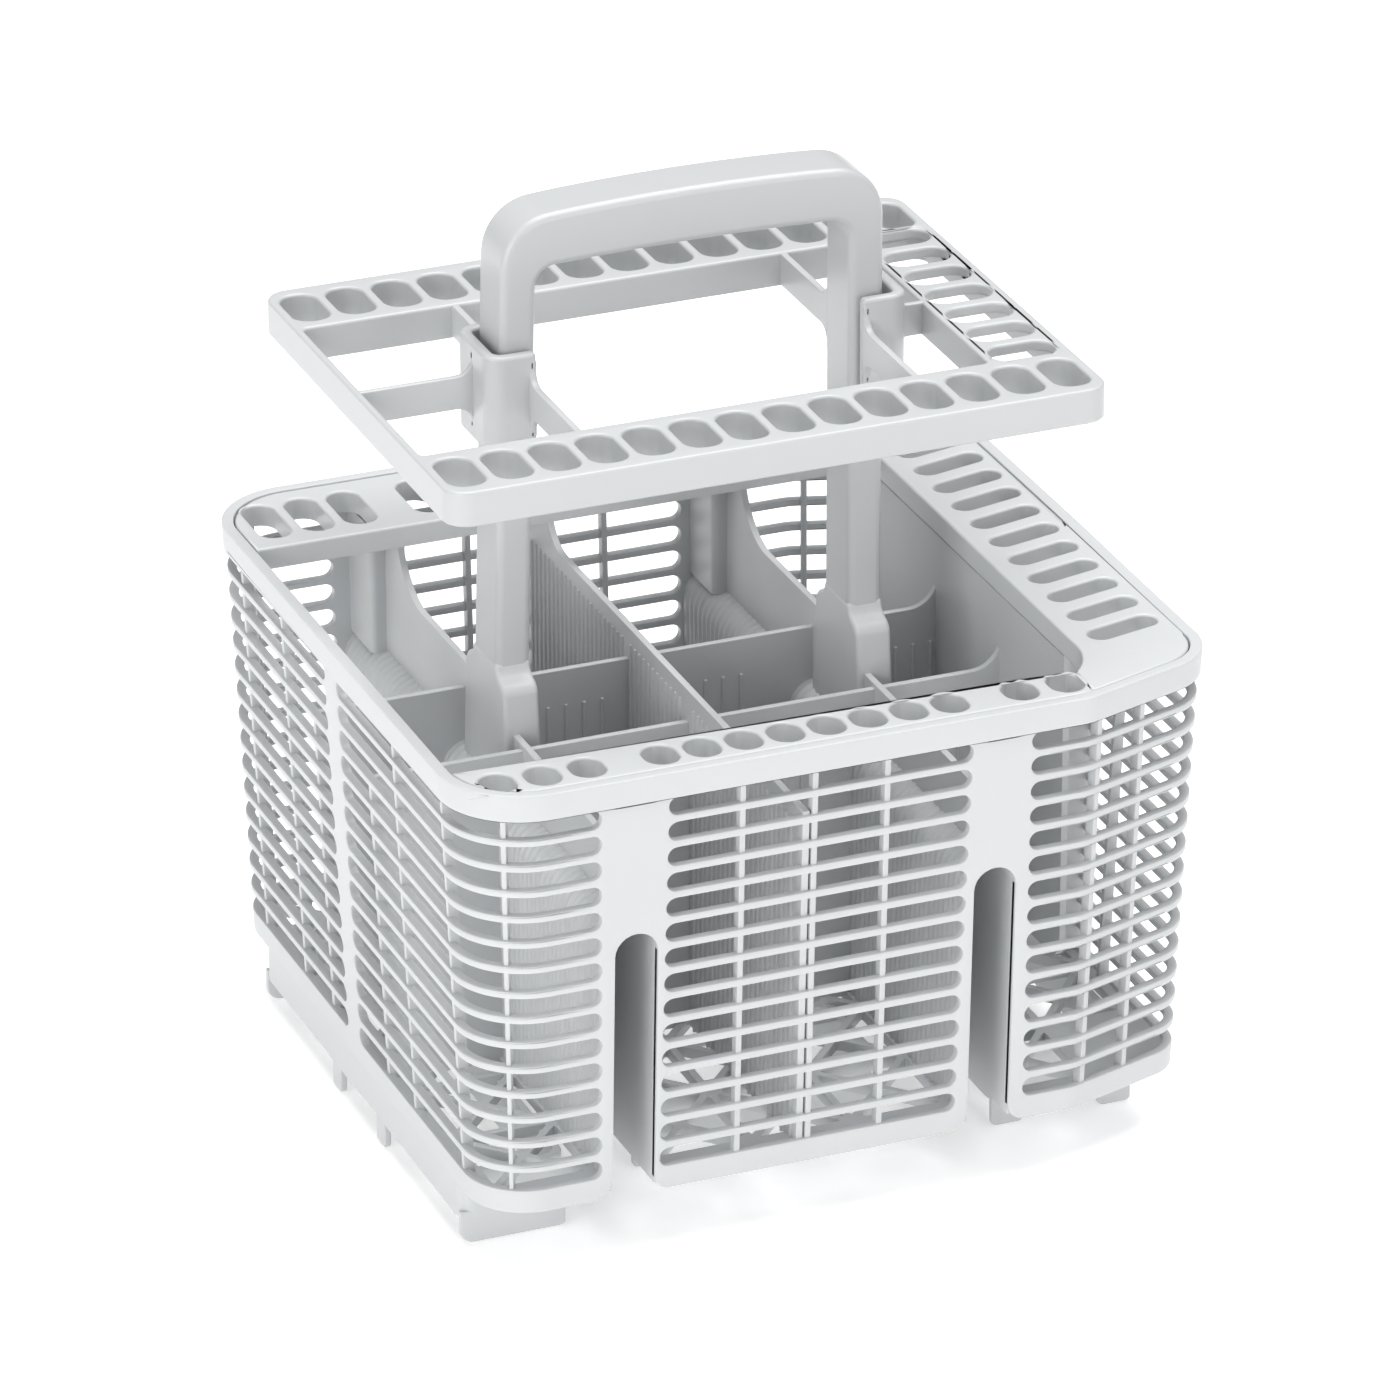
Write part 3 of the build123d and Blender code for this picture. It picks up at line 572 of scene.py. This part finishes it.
# Columns on the back wall
# Upright columns of the same moulding stand on the ridges where they meet the back wall, and
# stiffen it.
COLUMN_FRONT, COLUMN_WIDTH, COLUMN_CORNER = 74.0, 9.5, 1.6
columns = bmesh.new()
for x in TUNNELS:
    left, right = x - COLUMN_WIDTH / 2, x + COLUMN_WIDTH / 2
    end = wall_end(INNER_TOP)
    column = pierced_plate(
        [(left, COLUMN_FRONT, COLUMN_CORNER), (right, COLUMN_FRONT, COLUMN_CORNER),
         (right, end, 0), (left, end, 0)], [], INNER_TOP - TUNNEL_TOP - 1, 4)
    round_edges(column)
    bmesh.ops.translate(column, vec=(0, 0, INNER_TOP), verts=column.verts)
    add_shape(columns, column)
finish_piece(columns, "back_columns", "basket_body", tub_plastic)

# Sockets
# Blocks of the tub's own moulding on the ridges, which take the tongues of the handle's legs.
# Their shoulders come up to the legs in a soft S. The left one stands a little further out, as
# the left leg does.
HANDLE_X, HANDLE_SPAN, HANDLE_DEPTH, LEG_WIDTH, LEG_LEAN = -6.2, 97.2, 15.4, 8.8, 2.9
SOCKET_FOOT, SOCKET_TOP, SHOULDER, SHOULDER_LOW = 84.0, 113.7, 117.4, 114.6
SOCKET_HALF, SOCKET_FLARE, SOCKET_STEP, SOCKET_EDGE = 12.9, 2.6, 0.15, 1.2


def leg_faces(side):
    """Lower and upper X of a leg at its top."""
    outer = HANDLE_X + side * HANDLE_SPAN / 2
    return sorted((outer, outer - side * LEG_WIDTH))


sockets = bmesh.new()
leg_y = HANDLE_DEPTH / 2 - 0.05
half_outline = [(SOCKET_HALF + SOCKET_FLARE, SOCKET_FOOT, 0), (SOCKET_HALF, SHOULDER_LOW, 2.0),
                (leg_y + 0.4, SHOULDER - 0.9, 1.6), (leg_y, SHOULDER + 2.0, 0)]
outline = half_outline + [(-y, z, rounding) for y, z, rounding in reversed(half_outline)]
for side, shift in ((-1, -LEG_LEAN), (1, 0)):
    left, right = leg_faces(side)
    block = pierced_plate(outline, [], right - left + 2 * SOCKET_STEP, 6)
    round_edges(block, SOCKET_EDGE, 3)
    add_shape(sockets, facing_right(block, right + SOCKET_STEP + shift))
finish_piece(sockets, "handle_sockets", "basket_body", tub_plastic)

# Handle
# One stiff glossy polypropylene moulding, a crowned arch of even depth with soft edges. Its left
# leg leans out a little, and each leg ends in a tongue that is fast in its socket.
handle_plastic = moulded_polypropylene(
    "glossy_polypropylene_handle", "#BFC1C2", "#BDBFC0", 0.28, 0.05, 0.01)
HANDLE_TOP, CROWN, GRIP_HEIGHT, GRIP_CROWN = 234.0, 2.0, 14.2, 0.9
HANDLE_CORNER, GRIP_CORNER, FRONT_EDGE, BACK_EDGE = 12.0, 5.0, 1.9, 1.6
TONGUE = (5.2, 11.0, 12.0)


def crowned(half, top, rise, corner):
    """Places on a shallow arch between two corners, from right to left."""
    steps = [1 - 2 * i / 10 for i in range(11)]
    return [(HANDLE_X + half * t, top - rise * t * t, corner if abs(t) == 1 else 0)
            for t in steps if abs(t) == 1 or abs(t) < 0.7]


arch = crowned(HANDLE_SPAN / 2, HANDLE_TOP, CROWN, HANDLE_CORNER)
grip = crowned(HANDLE_SPAN / 2 - LEG_WIDTH, HANDLE_TOP - GRIP_HEIGHT + GRIP_CROWN / 2,
               GRIP_CROWN, GRIP_CORNER)
outline = [(arch[0][0], SOCKET_TOP, 0)] + arch + [(arch[-1][0], SOCKET_TOP, 0)]
outline += [(grip[-1][0], SOCKET_TOP, 0)] + grip[::-1] + [(grip[0][0], SOCKET_TOP, 0)]
handle = pierced_plate(outline, [], HANDLE_DEPTH, 10)


def level(edge, depth):
    """Whether an edge lies at a depth of the flat plate and isn't at the end of a leg."""
    first, second = (vert.co for vert in edge.verts)
    at_leg_end = min(first.y, second.y) < SOCKET_TOP + 0.01 and abs(first.y - second.y) < 5
    return not at_leg_end and all(abs(vert.co.z - depth) < 0.01 for vert in edge.verts)


round_edges(handle, FRONT_EDGE, 4, lambda edge: level(edge, 0))
round_edges(handle, BACK_EDGE, 5, lambda edge: level(edge, -HANDLE_DEPTH))
facing_front(handle, -HANDLE_DEPTH / 2)
for side in (-1, 1):
    middle = Vector((sum(leg_faces(side)) / 2, 0, SOCKET_TOP - TONGUE[2] / 2 + 0.5))
    bmesh.ops.create_cube(handle, size=1, matrix=Matrix.Translation(middle)
                          @ Matrix.Diagonal((*TONGUE, 1)))
leg_top = HANDLE_TOP - HANDLE_CORNER
for vert in handle.verts:
    if vert.co.x < HANDLE_X and vert.co.z < leg_top:
        vert.co.x -= LEG_LEAN * (leg_top - vert.co.z) / (leg_top - SOCKET_TOP)
finish_piece(handle, "handle", "handle", handle_plastic)

# Upper grid
# A separate polypropylene moulding round the handle's legs that keeps long cutlery apart. It has
# two rows of deep slots, a column of slots between thin bars, thin rails and arms, and two
# collars that open towards each other.
grid_plastic = moulded_polypropylene(
    "glossy_polypropylene_grid", "#C3C5C6", "#C0C2C3", 0.32, 0.06, 0.02)
GRID_X, GRID_HALF, GRID_TOP, GRID_DEPTH = (-89.7, 76.5), 64.7, 192.4, 8.7
GRID_CORNER, RAIL, RAIL_EDGE, ROW_EDGE, COLUMN_EDGE = 6.0, 1.9, 0.6, 40.4, 55.2
ROW_SLOTS, ROW_FIRST, ROW_PITCH, ROW_SLOT, ROW_WIDTH = 14, -82.8, 11.7, (44.2, 60.6), 9.3
COLUMN_SLOTS, COLUMN_MIDDLE, COLUMN_PITCH = 7, 1.0, 12.5
COLUMN_SLOT, COLUMN_SLOT_WIDTH = (57.2, 73.9), 8.9
BAR_DEPTH, BAR_MARGIN, BAR_OVERLAP, BAR_STEP = 3.0, 0.3, 1.0, 0.1
ROW_CORNER, BAY_CORNER, BARS_CORNER, LIP = 4.1, 1.5, 3.0, 0.8
RAIL_OFFSET, RAIL_STEP, FILLET, FILLET_BELOW, FILLET_ABOVE = 42.6, 0.15, 4.0, 5.5, 6.0
COLLAR, COLLAR_HALF, COLLAR_REACH, COLLAR_WALL = (175.5, 200.0), 11.4, 5.2, 2.9
COLLAR_CORNER, COLLAR_INNER_CORNER, COLLAR_TIP = 4.5, 2.0, 1.0


def widened(ends, extra):
    """Two ends moved apart, each by extra."""
    return (ends[0] - extra, ends[1] + extra)


slots = []
for i in range(ROW_SLOTS):
    x = ROW_FIRST + ROW_PITCH * i
    for span in (ROW_SLOT, (-ROW_SLOT[1], -ROW_SLOT[0])):
        slots.append(round_slot(widened((x, x), ROW_WIDTH / 2), span, ROW_CORNER))
column_y = [COLUMN_MIDDLE + COLUMN_PITCH * (i - (COLUMN_SLOTS - 1) / 2)
            for i in range(COLUMN_SLOTS)]
column_ends = widened((column_y[0], column_y[-1]), COLUMN_SLOT_WIDTH / 2)
slots.append(round_slot(widened(COLUMN_SLOT, BAR_MARGIN), widened(column_ends, BAR_MARGIN),
                        BARS_CORNER))
slots.append(round_slot((GRID_X[0] + RAIL, COLUMN_EDGE), (-ROW_EDGE, ROW_EDGE), BAY_CORNER))
grid = pierced_plate(round_slot(GRID_X, (-GRID_HALF, GRID_HALF), GRID_CORNER), slots,
                     GRID_DEPTH, 8)
round_edges(grid, LIP, 3, lambda edge: all(vert.co.z > -0.01 for vert in edge.verts))
round_edges(grid, EDGE, 1, lambda edge: all(vert.co.z < 0.01 - GRID_DEPTH for vert in edge.verts))
bmesh.ops.translate(grid, vec=(0, 0, GRID_TOP), verts=grid.verts)
bars_outline = round_slot(widened(COLUMN_SLOT, BAR_OVERLAP), widened(column_ends, BAR_OVERLAP),
                          BARS_CORNER)
bars = pierced_plate(bars_outline, [round_slot(COLUMN_SLOT, widened((y, y), COLUMN_SLOT_WIDTH / 2))
                                    for y in column_y], BAR_DEPTH, 8)
round_edges(bars, LIP, 3)
bmesh.ops.translate(bars, vec=(0, 0, GRID_TOP - BAR_STEP), verts=bars.verts)
add_shape(grid, bars)


def rail_outline(far, near):
    """Outline of a rail or arm from far, level with the grid, to a collar's face at near."""
    inside = near + (1.0 if near > far else -1.0)
    bottom, top = GRID_TOP - GRID_DEPTH + RAIL_STEP, GRID_TOP - RAIL_STEP
    low, high = bottom - FILLET_BELOW, top + FILLET_ABOVE
    return [(far, bottom, 0), (near, bottom, FILLET), (near, low, 0), (inside, low, 0),
            (inside, high, 0), (near, high, 0), (near, top, FILLET), (far, top, 0)]


for side in (-1, 1):
    rail_x = HANDLE_X + side * RAIL_OFFSET
    wall_x = HANDLE_X + side * (HANDLE_SPAN / 2 + COLLAR_REACH)
    inner_x, hole_x = rail_x - side * RAIL / 2, wall_x - side * COLLAR_WALL
    hole = COLLAR_HALF - COLLAR_WALL
    half_plan = [(inner_x, COLLAR_HALF, COLLAR_TIP), (inner_x, hole, COLLAR_TIP),
                 (hole_x, hole, COLLAR_INNER_CORNER)]
    plan = [(wall_x, -COLLAR_HALF, COLLAR_CORNER), (wall_x, COLLAR_HALF, COLLAR_CORNER)]
    plan += half_plan + [(x, -y, rounding) for x, y, rounding in reversed(half_plan)]
    collar = pierced_plate(plan, [], COLLAR[1] - COLLAR[0], 6)
    round_edges(collar, COLLAR_TIP, 3)
    bmesh.ops.translate(collar, vec=(0, 0, COLLAR[1]), verts=collar.verts)
    add_shape(grid, collar)
    for end in (-1, 1):
        rail = pierced_plate(rail_outline(end * (ROW_EDGE + 1), end * COLLAR_HALF), [], RAIL, 6)
        round_edges(rail, RAIL_EDGE)
        add_shape(grid, facing_right(rail, rail_x + RAIL / 2))
    far_x = COLUMN_EDGE + 1 if side > 0 else GRID_X[0] + 1
    arm = pierced_plate(rail_outline(far_x, wall_x), [], RAIL, 6)
    round_edges(arm, RAIL_EDGE)
    add_shape(grid, facing_front(arm, -RAIL / 2))
finish_piece(grid, "upper_grid", "upper_grid", grid_plastic)

# Skirts and feet
# Frames of the same moulding under the three bays of the floor, which end in feet that stand on
# the rack. The left one has one wide foot at each end, and two pegs under its left side.
SKIRT, SKIRT_BOTTOM, SKIRT_CORNER, SKIRT_INNER_CORNER = 2.0, 6.6, 4.0, 2.5
SKIRTS = ((-91.6, -64.5, 69.0), (-39.7, 24.0, 49.0), (48.6, 86.0, 62.4))
FOOT, FOOT_STEP, FOOT_EDGE, FOOT_CORNER, WIDE_CORNER = 9.0, 0.15, 0.4, 1.5, 3.5
SIDE_PEGS, PEG_HALF, PEG_CORNER = (-14.0, 17.0), 3.0, 1.2


def foot_plate(low, high, low_corner, high_corner):
    """A flat foot between two places, from the rack up into its skirt."""
    plate = pierced_plate([(low, 0, low_corner), (high, 0, high_corner),
                           (high, SKIRT_BOTTOM + 2, 0), (low, SKIRT_BOTTOM + 2, 0)], [],
                          SKIRT - 2 * FOOT_STEP)
    round_edges(plate, FOOT_EDGE)
    return plate


skirts = bmesh.new()
skirt_top = FLOOR_TOP - 1.5
for left, right, half in SKIRTS:
    inner = round_slot((left + SKIRT, right - SKIRT), (SKIRT - half, half - SKIRT),
                       SKIRT_INNER_CORNER)
    skirt = pierced_plate(round_slot((left, right), (-half, half), SKIRT_CORNER), [inner],
                          skirt_top - SKIRT_BOTTOM, 4)
    round_edges(skirt)
    bmesh.ops.translate(skirt, vec=(0, 0, skirt_top), verts=skirt.verts)
    add_shape(skirts, skirt)
    feet = [(left, left + FOOT, FOOT_CORNER), (right - FOOT, right, FOOT_CORNER)]
    if left == SKIRTS[0][0]:
        feet = [(left, right, WIDE_CORNER)]
    for front in (-half, half - SKIRT):
        for x0, x1, corner in feet:
            foot = foot_plate(x0 + FOOT_STEP, x1 - FOOT_STEP, corner, FOOT_CORNER)
            add_shape(skirts, facing_front(foot, front + FOOT_STEP))
for y in SIDE_PEGS:
    peg = foot_plate(y - PEG_HALF, y + PEG_HALF, PEG_CORNER, PEG_CORNER)
    add_shape(skirts, facing_right(peg, SKIRTS[0][0] + SKIRT - FOOT_STEP))
finish_piece(skirts, "skirts_and_feet", "basket_body", tub_plastic)

# Combs round the rim
# Three separate polypropylene mouldings snapped in just inside the rim, flush with its top. Each
# slot has a soft lip and a deep wall, and takes the handle of one piece of cutlery.
comb_plastic = moulded_polypropylene(
    "glossy_polypropylene_combs", "#CFD1D2", "#CBCDCE", 0.30, 0.08, 0.03)
COMB_DEPTH, COMB_GAP, COMB_LIP, COMB_STEP = 5.6, 0.35, 0.7, 0.15
# The combs narrow downwards, by the walls' lean over about half the rim's width
COMB_DRAFT = 1 - LEAN * COMB_DEPTH / 95
FRONT_COMB_EDGE, BACK_COMB_EDGE, FORK_COMB_EDGE, COMB_SEAM = -78.7, 59.9, 67.9, 61.8
SEAM_LEFT, SEAM_RIGHT = COMB_SEAM - 0.2, COMB_SEAM + 0.1
# Each group of slots has the X of its first, its pitch and its number
SLOT_GROUPS = ((-86.0, 11.05, 3), (-45.7, 10.44, 8), (45.3, 11.6, 2))
FRONT_SLOTS, BACK_SLOTS, COMB_SLOT_HALF = (-88.4, -78.0), (65.2, 85.3), 4.2
FORK_SLOTS, FORK_PITCH, FORK_FIRST, FORK_SLOT_X = 12, 11.55, -60.2, 82.2
FORK_SLOT, FORK_SLANT, FORK_COMB_CORNER = (19.4, 6.4), math.radians(13), (-71.5, 6.0)


def rim_line(first, last):
    """Points of the rim's inside from one place on it to another, going round."""
    inset = BAND_STEP + WALL + COMB_GAP
    places = [first]
    for start, x, y, heading, length, radius in RUNS:
        steps = max(1, round(length / radius / math.radians(6))) if radius else 1
        places += [start + length * i / steps for i in range(steps + 1)
                   if first + 0.1 < start + length * i / steps < last - 0.1]
    return [(*on_wall(u, inset), 0) for u in sorted(set(places + [last]))]


def row_of_slots(span):
    """The slots of the front or back comb, which face each other."""
    middles = [first + i * pitch for first, pitch, count in SLOT_GROUPS for i in range(count)]
    return [round_slot(widened((x, x), COMB_SLOT_HALF), span) for x in middles]


def comb(name, outline, slots):
    """One comb. A point of the outline that lies on the one before it is left out."""
    kept = [point for point, before in zip(outline, [outline[-1]] + outline)
            if math.dist(point[:2], before[:2]) > 0.05]
    plate = pierced_plate(kept, slots, COMB_DEPTH, 7)
    round_edges(plate, COMB_LIP, 3, lambda edge: all(v.co.z > -0.01 for v in edge.verts))
    for vert in plate.verts:
        if vert.co.z < -1:
            vert.co.xy *= COMB_DRAFT
    bmesh.ops.translate(plate, vec=(0, 0, RIM_TOP - COMB_STEP), verts=plate.verts)
    finish_piece(plate, name, name, comb_plastic)


front_line = rim_line(RUNS[7][0] + 1.5, front_u(COMB_SEAM - 2.6))
comb("front_comb", front_line + [(SEAM_LEFT, front_line[-1][1], 0),
                                 (SEAM_LEFT, FRONT_COMB_EDGE, 1.0)],
     row_of_slots(FRONT_SLOTS))
back_line = rim_line(back_u(COMB_SEAM - 2.6), RUNS[5][0] + RUNS[5][4] - 1.5)
comb("back_comb", [(FORK_COMB_EDGE - 0.2, BACK_COMB_EDGE, 0.8),
                   (SEAM_LEFT, back_line[0][1], 0), *back_line,
                   (back_line[-1][0], BACK_COMB_EDGE, 0)], row_of_slots(BACK_SLOTS))
fork_line = rim_line(RUNS[10][0] + 1.0, ROUND_TRIP)
fork_line += [(x, -y, 0) for x, y, rounding in reversed(fork_line)]
fork_slots = []
for i in range(FORK_SLOTS):
    cx, cy = FORK_SLOT_X, FORK_FIRST + i * FORK_PITCH
    turned = Matrix.Rotation(FORK_SLANT, 2)
    half = Vector(FORK_SLOT) / 2
    corners = [turned @ Vector((sx * half.x, sy * half.y))
               for sx, sy in ((-1, -1), (1, -1), (1, 1), (-1, 1))]
    fork_slots.append([(cx + c.x, cy + c.y, half.y - 0.004) for c in corners])
comb("fork_comb", [(FORK_COMB_EDGE, *FORK_COMB_CORNER), (SEAM_RIGHT, FRONT_COMB_EDGE, 0),
                   *fork_line, (SEAM_RIGHT, -fork_line[0][1], 0),
                   (FORK_COMB_EDGE, BACK_COMB_EDGE, 0)], fork_slots)

# Camera, floor and lights
# The camera stands where the photograph was taken from, about two metres away with a long
# lens. The floor is a white sheet that glows a little, and soft light comes from above, the
# left and the front.
AZIMUTH, ELEVATION, ROLL = map(math.radians, (-22.004, 25.355, -0.140))
DISTANCE, LENS, LOOK_RIGHT, LOOK_DOWN = 2163.7, 231.2, 3.839, 25.286
right_axis = Vector((math.cos(AZIMUTH), math.sin(AZIMUTH), 0))
back_axis = Vector((math.sin(AZIMUTH) * math.cos(ELEVATION),
                    -math.cos(AZIMUTH) * math.cos(ELEVATION), math.sin(ELEVATION)))
up_axis = back_axis.cross(right_axis)
right_axis, up_axis = (right_axis * math.cos(ROLL) + up_axis * math.sin(ROLL),
                       up_axis * math.cos(ROLL) - right_axis * math.sin(ROLL))
target = Vector((HANDLE_X, 0, RIM_TOP)) + LOOK_RIGHT * right_axis - LOOK_DOWN * up_axis
camera_data = bpy.data.cameras.new("camera")
camera_data.lens, camera_data.sensor_width = LENS, 36.0
camera_data.clip_start, camera_data.clip_end = 0.1, 50.0
camera = bpy.data.objects.new("camera", camera_data)
turn = Matrix((right_axis, up_axis, back_axis)).transposed().to_4x4()
camera.matrix_world = Matrix.Translation((target + DISTANCE * back_axis) * 0.001) @ turn
bpy.context.scene.collection.objects.link(camera)
bpy.context.scene.camera = camera

ground = bmesh.new()
bmesh.ops.create_grid(ground, x_segments=1, y_segments=1, size=6.0)
ground_mesh = bpy.data.meshes.new("floor_sheet")
ground.to_mesh(ground_mesh)
ground.free()
ground_object = bpy.data.objects.new("floor_sheet", ground_mesh)
ground_object.location.z = -0.0005
bpy.context.scene.collection.objects.link(ground_object)
paper = bpy.data.materials.new("white_paper")
paper.use_nodes = True
sheet = paper.node_tree.nodes["Principled BSDF"].inputs
sheet["Base Color"].default_value = (0.9, 0.9, 0.9, 1)
sheet["Roughness"].default_value = 0.9
sheet["Emission Color"].default_value = (1, 1, 1, 1)
sheet["Emission Strength"].default_value = 0.4
ground_mesh.materials.append(paper)

LIGHTS = (("key_light", (-2.0, -1.1, 0.7), 1.4, 25.0), ("top_light", (0.3, 0.1, 2.3), 2.2, 74.0),
          ("front_fill", (0.6, -2.2, 0.5), 1.2, 10.0))
for name, place, size, power in LIGHTS:
    lamp = bpy.data.lights.new(name, "AREA")
    lamp.size, lamp.energy = size, power
    lamp_object = bpy.data.objects.new(name, lamp)
    lamp_object.location = place
    aim = Vector((0, 0, 0.1)) - Vector(place)
    lamp_object.rotation_euler = aim.to_track_quat("-Z", "Y").to_euler()
    bpy.context.scene.collection.objects.link(lamp_object)
world = bpy.data.worlds.new("studio")
world.use_nodes = True
sky = world.node_tree.nodes["Background"].inputs
sky["Color"].default_value = (1, 1, 1, 1)
sky["Strength"].default_value = 0.2
bpy.context.scene.world = world
bpy.context.scene.view_settings.view_transform = "Standard"
